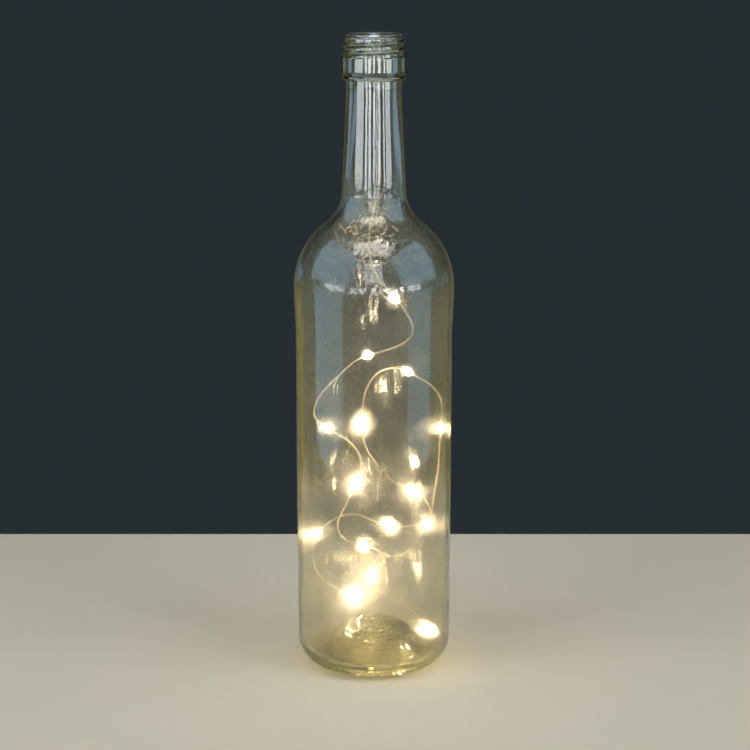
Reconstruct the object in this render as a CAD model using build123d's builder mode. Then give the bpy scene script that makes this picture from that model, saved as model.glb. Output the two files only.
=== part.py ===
"""A clear screw-finish wine bottle lit from inside by a string of wire lights on a battery stopper.

Millimetres, +Z up, origin at the middle of the ring that the bottle stands on.
"""

import os
from math import asin, atan2, cos, degrees, pi, radians, sin, sqrt, tan

from build123d import *

# Bottle body
panel_radius = 37.25
shoulder_radius = 38.0
wall = 2.6
panel_top = 166.0
shoulder_ring_bottom = 182.0
shoulder_start = 187.0
shoulder_arc = 37.5
neck_arc = 20.0
neck_base_radius = 15.0
glass_height = 304.3

# Bottle base
heel_radius = 13.0
bearing_width = 2.0
punt_depth = 16.0
punt_thickness = 5.5
floor_thickness = 6.0
trough_arc = 4.0

# Bottle finish, its heights measured down from the rim
neck_radius = 12.85
neck_straight = 8.0
bead_radius = 14.75
bead_height = 2.3
band_radius = 14.25
band_height = 8.7
thread_zone = 9.1
thread_root = 13.35
thread_height = 1.0
thread_pitch = 3.63
thread_turns = 1.75
thread_start_angle = 120.0
thread_clearance = 0.25
band_chamfer = 0.6
rim_round = 0.8
mouth_round = 0.6
bore_radius = 9.3
bore_depth = 42.0

# Stopper shell and its seals
flange_radius = 12.9
flange_thickness = 1.2
flange_round = 0.35
bore_clearance = 0.4
shell_wall = 1.3
shell_floor = 1.4
shell_chamfer = 0.5
seal_section = 0.55
seal_clearance = 0.04
seal_spots = (7.5, 18.5)

# Lid, its bayonet and the push button
lid_thickness = 1.8
lid_clearance = 0.1
lug_reach = 0.6
lug_thickness = 0.8
lug_angle = 24.0
slot_angle = 28.0
lug_clearance = 0.1
lid_twist = 60.0
skirt_wall = 0.6
button_radius = 2.4
button_shoulder = 0.8
button_shoulder_height = 0.65
button_recess = 0.2
button_travel = 0.6
button_clearance = 0.05

# Cells, contacts and circuit board
cell_radius = 5.8
cell_height = 5.4
cell_cap_radius = 4.6
cell_step = 0.3
cell_count = 3
cell_clearance = 0.15
switch_side = 4.6
switch_height = 0.9
board_thickness = 0.8
contact_sheet = 0.3
contact_rim = 0.9
contact_crown = 1.8
contact_lean = 0.2
positive_height = 1.0
negative_height = 1.4
contact_gap = 0.05
strip_thickness = 0.25
strip_width = 2.4
strip_clearance = 0.05

# Wire outlet in the stopper's floor
gland_radius = 1.6
gland_flare = 0.7
gland_length = 1.6
collar_height = 0.6

# Light string
wire_radius = 0.4
drop_radius = 1.5
drop_half_length = 2.5
chip_length = 1.6
chip_width = 1.2
chip_height = 0.95

# The run of the wire inside the bottle, from the top of its outlet downwards
wire_route = [
    (0, 0, 264), (2, -1, 246), (1, -2.5, 229), (-2.5, -3, 213), (-2.5, -3, 201),
    (4.5, -3.5, 186.5), (14.5, -8, 178), (19.5, -15, 168.5), (13.5, -23, 163.5),
    (3.5, -28, 161.5), (-9, -28.5, 157.5), (-17, -27, 148.5), (-24.5, -22.5, 140), (-27.5, -19.5, 132.5),
    (-27.5, -16.5, 125.5), (-17, -12, 117.5), (-9, -2, 109), (-6, 8, 98),
    (-8, 15.5, 89), (-10.5, 18, 80.5), (-16, 13.5, 71.5), (-18.5, 5, 66.5), (-15, -4.5, 63),
    (-9, -13, 63), (-0.5, -18, 63), (9, -13, 55.5), (18, -2, 56),
    (24, 8.5, 63), (29, 12.5, 69.5), (30.5, 12.5, 80), (31.5, 10.5, 92), (32.5, 8, 104),
    (32.5, 6, 111), (33, 1, 122), (31.5, -9, 135), (26.5, -18, 143),
    (19, -25, 149), (11.5, -27, 154), (2, -24, 151.5), (-4.5, -16.5, 140),
    (-5.5, -9, 127.5), (-6, 0.5, 113), (-1.5, 8, 101), (6, 13, 89.5),
    (14.5, 15.5, 83), (24.5, 14, 80), (29, 5.5, 75.5), (26, -5.5, 72.5),
    (14.5, -11.5, 70.5), (0, -14, 74.5), (-8.5, -8, 77.5), (-18, 3, 72),
    (-26.5, 10, 64), (-31, 12.5, 57.5), (-31.5, 12.5, 47), (-29, 16.5, 37),
    (-18.5, 18.5, 29), (-2.5, 20, 23), (5, 26, 24.5), (7.5, 29.5, 33), (3, 29, 42.5),
    (-2.5, 23, 41), (0.5, 17, 31), (7, 9, 28), (14.5, 2, 28), (20, -5, 25.5),
    (24, -10, 21), (29, -13.5, 16),
]
# Each light sits halfway along the run that starts at one of these points
light_runs = [6, 10, 15, 19, 24, 28, 33, 37, 41, 45, 49, 53, 57, 62, 67]
# The lead, which moves with the stopper, ends halfway along this run
lead_last_run = 4

# Heights that follow from the sizes above
band_top = glass_height - thread_zone
bead_top = band_top - band_height
bead_bottom = bead_top - bead_height
stopper_top = glass_height + flange_thickness
lid_bottom = stopper_top - lid_thickness
shoulder_bottom = lid_bottom - lid_clearance - button_shoulder_height
switch_top = shoulder_bottom - button_travel - button_clearance
board_top = switch_top - switch_height
board_bottom = board_top - board_thickness
cells_top = board_bottom - positive_height
cells_bottom = cells_top - contact_gap - cell_count * cell_height
collar_top = cells_bottom - negative_height
inner_floor = collar_top - collar_height
shell_bottom = inner_floor - shell_floor
gland_bottom = shell_bottom - gland_length

# Radii that follow from the sizes above
shell_radius = bore_radius - bore_clearance
shell_inner = shell_radius - shell_wall
lid_radius = shell_inner - lid_clearance
strip_inner = shell_inner - strip_clearance - strip_thickness
board_radius = strip_inner - strip_clearance
sleeve_outer = strip_inner - strip_clearance
sleeve_inner = cell_radius + cell_clearance

parts = []


def finished(builder, name):
    """Name a finished piece and keep it for writing."""
    builder.part.label = name
    parts.append(builder.part)


# Bottle: the shoulder and neck arcs meet on the line through their centres
shoulder_centre = (shoulder_radius - shoulder_arc, shoulder_start)
centres_apart = neck_base_radius + neck_arc - shoulder_centre[0]
neck_start = shoulder_start + sqrt((shoulder_arc + neck_arc) ** 2 - centres_apart**2)
shoulder_turn = degrees(atan2(neck_start - shoulder_start, centres_apart))
inner_neck_top = (neck_base_radius - wall, neck_start)

# The punt is a cap of a sphere, and the floor above it a larger one on the same centre
bearing_outer = panel_radius - heel_radius
bearing_inner = bearing_outer - bearing_width
punt_sphere = (bearing_inner**2 + punt_depth**2) / (2 * punt_depth)
punt_centre = punt_depth - punt_sphere
dome_sphere = punt_sphere + punt_thickness
trough_centre = floor_thickness + trough_arc
trough_radius = sqrt((dome_sphere + trough_arc) ** 2 - (trough_centre - punt_centre) ** 2)
trough_turn = degrees(atan2(trough_radius, trough_centre - punt_centre))
inside_radius = panel_radius - wall
inner_heel = inside_radius - trough_radius
punt_half_turn = asin(bearing_inner / punt_sphere) / 2
dome_half_turn = radians(trough_turn) / 2


def on_sphere(sphere_radius, angle):
    """A point of the punt's section, at an angle from the axis."""
    return (sphere_radius * sin(angle), punt_centre + sphere_radius * cos(angle))


with BuildPart() as bottle:
    with BuildSketch(Plane.XZ):
        with BuildLine():
            Line((bearing_inner, 0), (bearing_outer, 0))
            JernArc((bearing_outer, 0), (1, 0), heel_radius, 90)
            Polyline(
                (panel_radius, heel_radius),
                (panel_radius, panel_top),
                (shoulder_radius, shoulder_ring_bottom),
                (shoulder_radius, shoulder_start),
            )
            outer_shoulder = JernArc((shoulder_radius, shoulder_start), (0, 1), shoulder_arc, shoulder_turn)
            outer_neck = JernArc(outer_shoulder @ 1, outer_shoulder % 1, neck_arc, -shoulder_turn)
            Polyline(outer_neck @ 1, (neck_radius, bead_bottom - neck_straight), (neck_radius, bead_bottom))
            ThreePointArc(
                (neck_radius, bead_bottom),
                (bead_radius, bead_bottom + bead_height / 2),
                (band_radius, bead_top),
            )
            Polyline(
                (band_radius, bead_top),
                (band_radius, band_top - band_chamfer),
                (thread_root, band_top),
                (thread_root, glass_height - rim_round),
            )
            JernArc((thread_root, glass_height - rim_round), (0, 1), rim_round, 90)
            Line((thread_root - rim_round, glass_height), (bore_radius + mouth_round, glass_height))
            JernArc((bore_radius + mouth_round, glass_height), (-1, 0), mouth_round, 90)
            Polyline(
                (bore_radius, glass_height - mouth_round),
                (bore_radius, glass_height - bore_depth),
                inner_neck_top,
            )
            inner_neck = JernArc(inner_neck_top, (0, -1), neck_arc + wall, shoulder_turn)
            inner_shoulder = JernArc(inner_neck @ 1, inner_neck % 1, shoulder_arc - wall, -shoulder_turn)
            Polyline(
                inner_shoulder @ 1,
                (shoulder_radius - wall, shoulder_ring_bottom),
                (inside_radius, panel_top),
                (inside_radius, floor_thickness + inner_heel),
            )
            JernArc((inside_radius, floor_thickness + inner_heel), (0, -1), inner_heel, -90)
            trough = JernArc((trough_radius, floor_thickness), (-1, 0), trough_arc, -trough_turn)
            dome_top = on_sphere(dome_sphere, 0)
            ThreePointArc(trough @ 1, on_sphere(dome_sphere, dome_half_turn), dome_top)
            Line(dome_top, (0, punt_depth))
            ThreePointArc((0, punt_depth), on_sphere(punt_sphere, punt_half_turn), (bearing_inner, 0))
        make_face()
    revolve(axis=Axis.Z)

    # Right-hand glass thread, round-topped, with rounded ends
    thread_low = glass_height - thread_clearance - rim_round - thread_height - thread_turns * thread_pitch
    thread_plane = Plane.XY.offset(thread_low).rotated((0, 0, thread_start_angle))
    with BuildLine(thread_plane) as thread_path:
        Helix(thread_pitch, thread_turns * thread_pitch, thread_root)
    with BuildSketch(Plane(thread_path.line @ 0, z_dir=thread_path.line % 0)):
        Circle(thread_height)
    sweep(path=thread_path.line, is_frenet=True)
    with Locations(thread_path.line @ 0, thread_path.line @ 1):
        Sphere(thread_height)
finished(bottle, "bottle")


# Stopper shell: a cup that hangs in the mouth by its flange
def ring_cut(inner, outer, bottom, height):
    """Cut a square groove, from one radius to another, out of the piece being made."""
    with BuildSketch(Plane.XY.offset(bottom)) as ring:
        Circle(outer)
        if inner:
            Circle(inner, mode=Mode.SUBTRACT)
    extrude(ring.sketch, amount=height, mode=Mode.SUBTRACT)


def sector(radius, width_angle, middle_angle, height):
    """Draw a sector of a disc about the axis, at a height."""
    half = radians(width_angle) / 2
    middle = radians(middle_angle)
    reach = radius / cos(half)
    corners = [(reach * cos(middle + turn), reach * sin(middle + turn)) for turn in (-half, half)]
    with BuildSketch(Plane.XY.offset(height)) as drawn:
        with BuildLine():
            Polyline((0, 0), *corners, close=True)
        make_face()
        Circle(radius, mode=Mode.INTERSECT)
    return drawn.sketch


seal_heights = [glass_height - spot for spot in seal_spots]
seal_middle = bore_radius - seal_clearance - seal_section
groove_floor = seal_middle - seal_section
groove_bottom = lid_bottom - lug_clearance
groove_height = lug_thickness + 2 * lug_clearance
lug_radius = lid_radius + lug_reach
lug_turns = (0.0, 180.0)

with BuildPart() as stopper_shell:
    with BuildSketch(Plane.XZ):
        with BuildLine():
            Polyline(
                (gland_radius, shell_bottom),
                (shell_radius - shell_chamfer, shell_bottom),
                (shell_radius, shell_bottom + shell_chamfer),
                (shell_radius, glass_height),
                (flange_radius, glass_height),
                (flange_radius, stopper_top),
                (shell_inner, stopper_top),
                (shell_inner, inner_floor),
                (gland_radius, inner_floor),
                close=True,
            )
        make_face()
    revolve(axis=Axis.Z)
    fillet(stopper_shell.edges().filter_by(GeomType.CIRCLE).group_by(SortBy.RADIUS)[-1], flange_round)
    for height in seal_heights:
        ring_cut(groove_floor, flange_radius, height - seal_section, 2 * seal_section)
    ring_cut(0, lug_radius + lug_clearance, groove_bottom, groove_height)
    for lug_turn in lug_turns:
        way_in = sector(lug_radius + lug_clearance, slot_angle, lug_turn + lid_twist, groove_bottom)
        extrude(way_in, amount=stopper_top - groove_bottom, mode=Mode.SUBTRACT)
finished(stopper_shell, "stopper_shell")

for number, height in enumerate(seal_heights, start=1):
    with BuildPart(Plane.XY.offset(height)) as seal_ring:
        Torus(seal_middle, seal_section)
    finished(seal_ring, f"seal_ring_{number}")

# Lid: a disc with two bayonet lugs and a skirt that carries the circuit board
with BuildPart() as lid:
    with BuildSketch(Plane.XY.offset(lid_bottom)):
        Circle(lid_radius)
    extrude(amount=lid_thickness)
    for lug_turn in lug_turns:
        extrude(sector(lug_radius, lug_angle, lug_turn, lid_bottom), amount=lug_thickness)
    with BuildSketch(Plane.XY.offset(board_top)):
        Circle(board_radius)
        Circle(board_radius - skirt_wall, mode=Mode.SUBTRACT)
    extrude(amount=lid_bottom - board_top)
    with BuildSketch(Plane.XY.offset(lid_bottom)):
        Circle(button_radius + button_clearance)
    extrude(amount=lid_thickness, mode=Mode.SUBTRACT)
finished(lid, "lid")

with BuildPart() as push_button:
    with BuildSketch(Plane.XY.offset(shoulder_bottom)):
        Circle(button_radius + button_shoulder)
    extrude(amount=button_shoulder_height)
    with BuildSketch(Plane.XY.offset(shoulder_bottom)):
        Circle(button_radius)
    extrude(amount=stopper_top - button_recess - shoulder_bottom)
    chamfer(push_button.edges().group_by(Axis.Z)[-1], button_recess)
finished(push_button, "push_button")

# Electrical pieces inside the stopper
with BuildPart() as switch:
    with BuildSketch(Plane.XY.offset(board_top)):
        Rectangle(switch_side, switch_side)
    extrude(amount=switch_height)
finished(switch, "switch")

with BuildPart() as circuit_board:
    with BuildSketch(Plane.XY.offset(board_bottom)):
        Circle(board_radius)
    extrude(amount=board_thickness)
finished(circuit_board, "circuit_board")


def dished_contact(base, tip):
    """Draw the section of a dished spring washer, from its flat rim at base to its crown at tip."""
    sheet = contact_sheet if tip > base else -contact_sheet
    slope_foot = cell_cap_radius - contact_rim
    with BuildSketch(Plane.XZ) as section:
        with BuildLine():
            Polyline(
                (cell_cap_radius, base),
                (cell_cap_radius, base + sheet),
                (slope_foot, base + sheet),
                (contact_crown, tip),
                (0, tip),
                (0, tip - sheet),
                (contact_crown - contact_lean, tip - sheet),
                (slope_foot - contact_lean, base),
                close=True,
            )
        make_face()
    return section.sketch


with BuildPart() as positive_contact:
    revolve(dished_contact(board_bottom, cells_top), axis=Axis.Z)
finished(positive_contact, "positive_contact")

with BuildPart() as negative_contact:
    revolve(dished_contact(collar_top, cells_bottom), axis=Axis.Z)
finished(negative_contact, "negative_contact")

for number in range(cell_count):
    cell_bottom = cells_bottom + number * cell_height
    with BuildPart() as button_cell:
        with BuildSketch(Plane.XY.offset(cell_bottom)):
            Circle(cell_cap_radius)
        extrude(amount=cell_step)
        with BuildSketch(Plane.XY.offset(cell_bottom + cell_step)):
            Circle(cell_radius)
        extrude(amount=cell_height - cell_step)
    finished(button_cell, f"button_cell_{number + 1}")

with BuildPart() as cell_sleeve:
    with BuildSketch(Plane.XY.offset(inner_floor)):
        Circle(sleeve_outer)
        Circle(sleeve_inner, mode=Mode.SUBTRACT)
    extrude(amount=cells_top - contact_gap - inner_floor)
finished(cell_sleeve, "cell_sleeve")

with BuildPart() as contact_strip:
    with BuildSketch(Plane.XY.offset(inner_floor)):
        Circle(strip_inner + strip_thickness)
        Circle(strip_inner, mode=Mode.SUBTRACT)
        with Locations((0, shell_inner)):
            Rectangle(strip_width, 2 * strip_inner, mode=Mode.INTERSECT)
    extrude(amount=board_top - inner_floor)
finished(contact_strip, "contact_strip")

with BuildPart() as wire_gland:
    with BuildSketch(Plane.XZ):
        with BuildLine():
            Polyline(
                (wire_radius, gland_bottom),
                (gland_radius, gland_bottom),
                (gland_radius + gland_flare, shell_bottom),
                (gland_radius, shell_bottom),
                (gland_radius, inner_floor),
                (gland_radius + gland_flare, inner_floor),
                (gland_radius + gland_flare, collar_top),
                (wire_radius, collar_top),
                close=True,
            )
        make_face()
    revolve(axis=Axis.Z)
finished(wire_gland, "wire_gland")

# Light string: straight runs joined by the largest arcs that the runs allow
route = [Vector(0, 0, collar_top)] + [Vector(*point) for point in wire_route]
arc_share = 0.45


def bend_radius(before, corner, after):
    """The radius of the arc at one corner of the wire's route."""
    shorter = min((corner - before).length, (after - corner).length)
    turn = radians((corner - before).get_angle(after - corner))
    return arc_share * shorter / tan(turn / 2)


def run_middle(run):
    """The point halfway along one run of the wire's route."""
    return (route[run] + route[run + 1]) / 2


bends = [bend_radius(*route[at - 1 : at + 2]) for at in range(1, len(route) - 1)]
lead_end = run_middle(lead_last_run)
lead_points = route[: lead_last_run + 1] + [lead_end]
string_points = [lead_end] + route[lead_last_run + 1 :]
wires = {
    "lead_wire": (lead_points, bends[:lead_last_run]),
    "string_wire": (string_points, bends[lead_last_run:]),
}
for name, (points, radii) in wires.items():
    with BuildPart() as wire:
        with BuildLine():
            wire_path = FilletPolyline(*points, radius=radii)
        with BuildSketch(Plane(wire_path @ 0, z_dir=wire_path % 0)):
            Circle(wire_radius)
        sweep(path=wire_path)
    share = wire.part.volume / (pi * wire_radius**2 * wire_path.length)
    print(f"{name}: length {wire_path.length:.1f}, volume {share:.4f} of section times length")
    print(f"{name}: bends from {min(radii):.1f} to {max(radii):.1f}")
    finished(wire, name)
string_wire = parts[-1]

# Each light: a chip astride the wire inside a clear resin drop
for number, run in enumerate(light_runs, start=1):
    along = (route[run + 1] - route[run]).normalized()
    side = along.cross(Vector(0, 0, 1)).normalized()
    middle = run_middle(run)
    with BuildPart() as led_chip:
        with BuildSketch(Plane(middle, x_dir=side, z_dir=side.cross(along))):
            Rectangle(chip_width, chip_length)
        extrude(amount=chip_height)
        add(string_wire, mode=Mode.SUBTRACT)
    finished(led_chip, f"led_chip_{number:02d}")
    with BuildPart() as resin_drop:
        with BuildSketch(Plane(middle, x_dir=along, z_dir=side)):
            with BuildLine():
                EllipticalCenterArc((0, 0), drop_half_length, drop_radius, 0, arc_size=180)
                Line((-drop_half_length, 0), (drop_half_length, 0))
            make_face()
        revolve(axis=Axis(middle, along))
        add(string_wire, mode=Mode.SUBTRACT)
        add(led_chip.part, mode=Mode.SUBTRACT)
    finished(resin_drop, f"resin_drop_{number:02d}")

os.makedirs("parts", exist_ok=True)
for part in parts:
    export_step(part, f"parts/{part.label}.step")
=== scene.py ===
import math

import bpy
from mathutils import Matrix, Vector


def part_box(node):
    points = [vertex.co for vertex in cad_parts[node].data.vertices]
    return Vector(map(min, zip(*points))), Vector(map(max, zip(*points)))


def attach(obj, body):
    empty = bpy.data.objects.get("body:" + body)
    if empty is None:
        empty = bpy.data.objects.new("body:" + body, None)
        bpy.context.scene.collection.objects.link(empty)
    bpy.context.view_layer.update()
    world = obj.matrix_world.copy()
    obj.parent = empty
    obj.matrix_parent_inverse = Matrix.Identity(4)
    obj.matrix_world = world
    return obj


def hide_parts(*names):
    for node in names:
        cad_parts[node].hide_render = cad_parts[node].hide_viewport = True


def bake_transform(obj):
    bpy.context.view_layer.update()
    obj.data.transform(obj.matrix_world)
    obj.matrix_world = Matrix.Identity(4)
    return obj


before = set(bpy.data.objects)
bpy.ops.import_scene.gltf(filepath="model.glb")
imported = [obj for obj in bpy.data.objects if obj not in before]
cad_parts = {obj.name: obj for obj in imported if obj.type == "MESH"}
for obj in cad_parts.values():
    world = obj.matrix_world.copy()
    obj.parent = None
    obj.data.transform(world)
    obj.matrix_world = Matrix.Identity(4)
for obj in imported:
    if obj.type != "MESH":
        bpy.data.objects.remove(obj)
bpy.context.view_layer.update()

# Sizes below are millimetres, which MM turns into metres, save for the camera's and the studio's, in metres
MM = 0.001

# Mesh work: angles in degrees
WELD = 0.002
FLAT_ANGLE = 1.0
EASED_ANGLE = 35.0
SMOOTH_ANGLE = 40.0
STRAND_SMOOTH_ANGLE = 50.0
GLASS_SMOOTH_ANGLE = 28.0

# Camera, at the photograph's height and tilt
CAMERA_PLACE = (0.0005, -0.935, 0.358)
CAMERA_DIP = 12.92
CAMERA_LENS = 95.86
CAMERA_SENSOR = 36.0

# Bottle body
PANEL_RADIUS = 37.25
SHOULDER_RADIUS = 38.0
WALL = 2.6
PANEL_TOP = 166.0
SHOULDER_RING_BOTTOM = 182.0
SHOULDER_START = 187.0
SHOULDER_ARC = 37.5
NECK_ARC = 20.0
NECK_BASE_RADIUS = 15.0
GLASS_HEIGHT = 304.27

# Bottle base
HEEL_RADIUS = 13.0
BEARING_WIDTH = 2.0
PUNT_DEPTH = 16.0
PUNT_THICKNESS = 5.5
PUNT_STEPS = 52
PUNT_RING_STEPS = 4
PUNT_RING_DEPTH = 0.16
FLOOR_THICKNESS = 6.0
TROUGH_ARC = 4.0
STIPPLE_HIGH = 5.5
STIPPLE_DEPTH = 0.6
STIPPLE_FADE = 6.0
STIPPLE_TOP_FADE = 2.0
STIPPLE_COLUMNS = 2
STIPPLE_ROWS = 3

# Bottle's mould seams, and the waves inside its neck as weight, count and start
SEAM_ANGLES = (-84.7, 95.3)
SEAM_HEIGHT = 0.12
SEAM_TOP = 284.0
FLUTES_LOW = 214.0
FLUTES_HIGH = 276.0
FLUTE_FADE = 12.0
FLUTE_DEPTH = 0.06
FLUTES = ((1.0, 5, 1.0), (0.7, 9, 2.1), (0.5, 14, 0.7))

# Bottle finish
NECK_RADIUS = 12.85
NECK_STRAIGHT = 8.0
BEAD_RADIUS = 14.75
BEAD_HEIGHT = 2.3
BEAD_ROUND = 1.15
BAND_RADIUS = 14.25
BAND_HEIGHT = 8.7
BAND_CHAMFER = 0.6
THREAD_ZONE = 9.1
THREAD_ROOT = 13.35
THREAD_HEIGHT = 1.0
THREAD_PITCH = 3.63
THREAD_TURNS = 1.75
THREAD_START = 120.0
THREAD_LOW = 295.9
THREAD_HALF_WIDTH = 1.25
THREAD_FADE = 28.0
THREAD_CREST = 1.4
THREAD_NEAR = 0.02
RIM_ROUND = 0.8
MOUTH_ROUND = 0.6
BORE_RADIUS = 9.3
BORE_DEPTH = 28.0

# Steps round the bottle and along its outline
GLASS_STEPS = 240
HEEL_STEPS = 30
PANEL_STEPS = 26
RING_STEPS = 5
SHOULDER_STEPS = 24
NECK_TURN_STEPS = 16
NECK_STEPS = 10
BEAD_STEPS = 10
BAND_STEPS = 4
THREAD_STEPS = 34
RIM_STEPS = 8
MOUTH_STEPS = 6
BORE_STEPS = 8
INNER_NECK_STEPS = 6
INNER_RING_STEPS = 4
INNER_HEEL_STEPS = 12
TROUGH_STEPS = 10
DOME_STEPS = 20

# The wire's route from the top of its outlet downwards, then the lights along it
WIRE_TOP = 281.95
WIRE_ROUTE = [
    (0, 0, WIRE_TOP),
    (0, 0, 264), (2, -1, 246), (1, -2.5, 229), (-2.5, -3, 213), (-2.5, -3, 201),
    (4.5, -3.5, 186.5), (14.5, -8, 178), (19.5, -15, 168.5), (13.5, -23, 163.5),
    (3.5, -28, 161.5), (-9, -28.5, 157.5), (-17, -27, 148.5), (-24.5, -22.5, 140), (-27.5, -19.5, 132.5),
    (-27.5, -16.5, 125.5), (-17, -12, 117.5), (-9, -2, 109), (-6, 8, 98),
    (-8, 15.5, 89), (-10.5, 18, 80.5), (-16, 13.5, 71.5), (-18.5, 5, 66.5), (-15, -4.5, 63),
    (-9, -13, 63), (-0.5, -18, 63), (9, -13, 55.5), (18, -2, 56),
    (24, 8.5, 63), (29, 12.5, 69.5), (30.5, 12.5, 80), (31.5, 10.5, 92), (32.5, 8, 104),
    (32.5, 6, 111), (33, 1, 122), (31.5, -9, 135), (26.5, -18, 143),
    (19, -25, 149), (11.5, -27, 154), (2, -24, 151.5), (-4.5, -16.5, 140),
    (-5.5, -9, 127.5), (-6, 0.5, 113), (-1.5, 8, 101), (6, 13, 89.5),
    (14.5, 15.5, 83), (24.5, 14, 80), (29, 5.5, 75.5), (26, -5.5, 72.5),
    (14.5, -11.5, 70.5), (0, -14, 74.5), (-8.5, -8, 77.5), (-18, 3, 72),
    (-26.5, 10, 64), (-31, 12.5, 57.5), (-31.5, 12.5, 47), (-29, 16.5, 37),
    (-18.5, 18.5, 29), (-2.5, 20, 23), (5, 26, 24.5), (7.5, 29.5, 33), (3, 29, 42.5),
    (-2.5, 23, 41), (0.5, 17, 31), (7, 9, 28), (14.5, 2, 28), (20, -5, 25.5),
    (24, -10, 21), (29, -13.5, 16),
]
LIGHT_RUNS = [6, 10, 15, 19, 24, 28, 33, 37, 41, 45, 49, 53, 57, 62, 67]
WIRE_STEPS = 14
STRAND_RADIUS = 0.2
TWIST_PITCH = 9.0

# Stopper: what its CAD nodes don't give
LOCK_ANGLES = (0.0, 60.0)
FLANGE_MIDDLE = 10.7
MARK_HOLLOW = (0.45, 0.45, 0.35)
MARK_SHARE = 0.85
FINGER_HOLLOW = (2.5, 1.5, 0.7)
FINGER_SHARE = 0.66
FINGER_RAISE = 0.25
BUTTON_HOLLOW = 6.0
BUTTON_DISH = 0.25
SEAL_GROOVE = 0.16
SEAL_LIPS = 16
SEAL_STEPS = 40

# Switch, by its levels above its foot and by shares of its side
SWITCH_CASE = 0.5
PLUNGER_SHARE = 0.26
COVER_INSET = 0.4
COVER_LEVEL = 0.55
COVER_THICKNESS = 0.12
RIVET_SHARE = 0.36
RIVET_LEVEL = 0.58
RIVET_RADIUS = 0.28
RIVET_HEIGHT = 0.14

# Driver parts on the board, each by its place and size, and the solder joint at each end
DRIVER_PARTS = (
    (0.3, 4.8, (2.2, 1.5, 0.7)),
    (-4.7, 1.1, (1.5, 0.8, 0.45)),
    (4.7, -1.0, (1.5, 0.8, 0.45)),
    (0.8, -4.9, (1.2, 1.0, 0.65)),
)
SOLDER_SHARE = 0.58
SOLDER_RADIUS = 0.34
SOLDER_HEIGHT = 0.22

# Button cells: the cap, the step around it, the crimp, the can and its shallow dish
CELL_CAP_RADIUS = 4.6
CELL_CAP_ROUND = 0.25
CELL_STEP = 0.5
CELL_CRIMP = 0.8
CELL_CRIMP_ROUND = 0.45
CELL_CRIMP_LEVEL = 0.75
CELL_CAN_ROUND = 0.5
CELL_RIM = 1.0
CELL_DISH_EDGE = 1.2
CELL_DISH = 0.08

# Gland: its ribs as steps outwards and upwards from its foot, and the waist that the floor holds
GLAND_BORE = 0.45
GLAND_RADIUS = 1.6
GLAND_ROUND = 0.25
GLAND_FOOT = 0.3
GLAND_RIBS = ((0.1, 0.5), (-0.1, 0.65), (0.3, 0.95), (0.1, 1.1))
GLAND_WAIST_LOW = 1.6
GLAND_WAIST_HIGH = 0.6
GLAND_LIP = 0.15
GLAND_EASE = 0.2

# Each light
DROP_RADIUS = 1.5
DROP_HALF_LENGTH = 2.5
DROP_TAPER = 0.3
GLOW_ENDS = (0.75, 0.47, 0.19)
GLOW_MIDDLE = (1.0, 0.83, 0.58)
LIGHT_STRENGTH = 98.0
FACING_STRENGTH = 185.0
FACING_LIGHTS = (4, 9, 11, 13, 14, 15)

# The light halfway to the back wall, whose image in it would be drawn out into a bar
HALFWAY_LIGHT = 14
MIRRORED_SHARE = 0.08
DIRECT_DEPTH = 3.5

# Wear on all surfaces: the grain of scratches up and across, and how much of their noise shows
HAIRLINES = ((1500, 1500, 25), (60, 60, 2400))
HAIRLINE_EDGES = (0.6, 0.75)

# Grain of the plastics, and the wire's enamel, whole and worn
PLASTIC_GRAIN = (3500, 3500, 3500)
ENAMEL_GRAIN = (260, 260, 260)
ENAMEL_WHOLE = (0.86, 0.7, 0.45)
ENAMEL_WORN = (0.98, 0.93, 0.8)

# Glass: its colour, with a painted golden glow tinting it low down where the lights shine, and what its
# body and its shadow keep of the light
GLASS_INDEX = 1.52
GLASS_CLEAR = (0.985, 0.988, 0.982)
GLASS_PAINTED_GLOW = (0.93, 0.895, 0.8)
PAINTED_GLOW_BAND = (-20, -10, 70, 200)
GLASS_BODY = (0.72, 0.74, 0.36)
GLASS_DENSITY = 50.0
GLASS_SHADOW = (0.28, 0.275, 0.262)

# The glass's bloom: its grain, its patches, and the heights where it is wiped off, dusty and clouded
BLOOM_GRAIN = (9000, 9000, 9000)
BLOOM_PATCHES = (45, 45, 45)
BLOOM_PATCH_WEIGHT = 0.3
BLOOM_BANDS = (
    ((162, 212, 320, 330), -0.1),
    ((-20, -10, 80, 150), 0.02),
    ((-20, -10, 25, 55), 0.012),
)
BLOOM_EDGES = (0.805, 0.825)
BLOOM_ROUGHNESS = 0.38

# The glass's waves: blown ones inside, pressed ones all over, and pebbles outside at two heights
INSIDE_FRONT = 0.25
INSIDE_FROM = 0.1
RIPPLE_GRAIN = (60, 60, 1200)
RIPPLE_BAND = (-20, -10, 188, 204)
RIPPLE_HEIGHT = 0.11
DRAWN_GRAIN = (120, 120, 12)
DRAWN_HEIGHT = 0.75
PRESSED_GRAIN = (60, 60, 60)
PRESSED_HEIGHT = 0.08
PEBBLE_GRAIN = (800, 800, 800)
PEBBLE_EDGES = (0.52, 0.78)
PEBBLE_BANDS = (((196, 214, 234, 244), 0.12), ((180, 190, 200, 214), 0.06))

# Table top
TABLE_PLACE = (0, -0.075, -0.012)
TABLE_SIZE = (0.7, 0.56, 0.024)
TABLE_EDGE = 0.003
TABLE_COLOUR = (0.48, 0.468, 0.4)

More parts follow.
